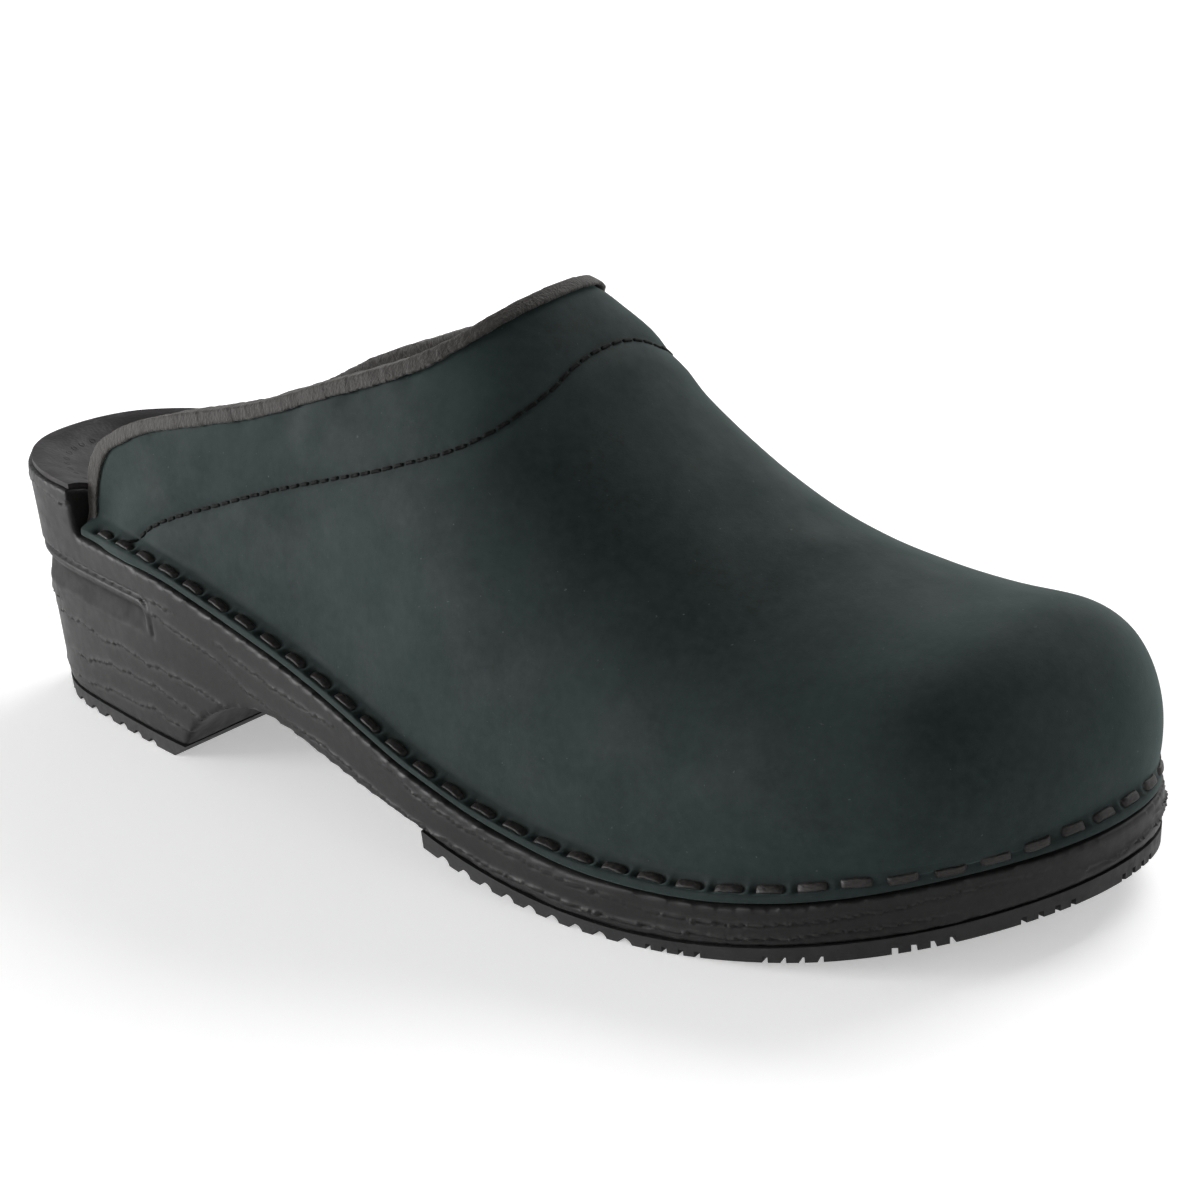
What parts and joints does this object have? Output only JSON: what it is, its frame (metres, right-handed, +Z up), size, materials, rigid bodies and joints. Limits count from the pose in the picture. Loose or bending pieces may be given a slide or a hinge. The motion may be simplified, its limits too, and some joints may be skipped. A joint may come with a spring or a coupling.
{
  "type": "open-back clog",
  "caption": "Open-back clog for the right foot: soft leather upper stitched down to a moulded sole with a raised heel, arched waist and rocker forepart.",
  "frame": {"origin": "middle of the overall box in plan, on the ground under the shoe", "axes": "+X towards the toe, +Y towards the inner (big toe) side, +Z up"},
  "size_m": [0.2886, 0.1064, 0.1141],
  "materials": {
    "sole_unit": "semi-matte, embossed wood grain",
    "rubber": "matte",
    "steel": "satin",
    "board": "matte",
    "foam": "matte",
    "sock": "smooth",
    "nubuck": "soft nap",
    "lining": "smooth",
    "interlining": "matte",
    "puff": "matte",
    "binding": "matte",
    "thread": "waxed"
  },
  "bodies": {
    "root": {"sole_unit": "sole_unit", "heel_outsole": "rubber", "forefoot_outsole": "rubber", "shank": "steel", "insole_board": "board", "footbed_foam": "foam", "sock_lining": "sock", "upper": "nubuck", "instep_padding": "foam", "vamp_interlining": "interlining", "toe_puff": "puff", "upper_lining": "lining", "topline_binding": "binding", "seam_stitching": "thread", "welt_stitching": "thread"}
  },
  "joints": []
}
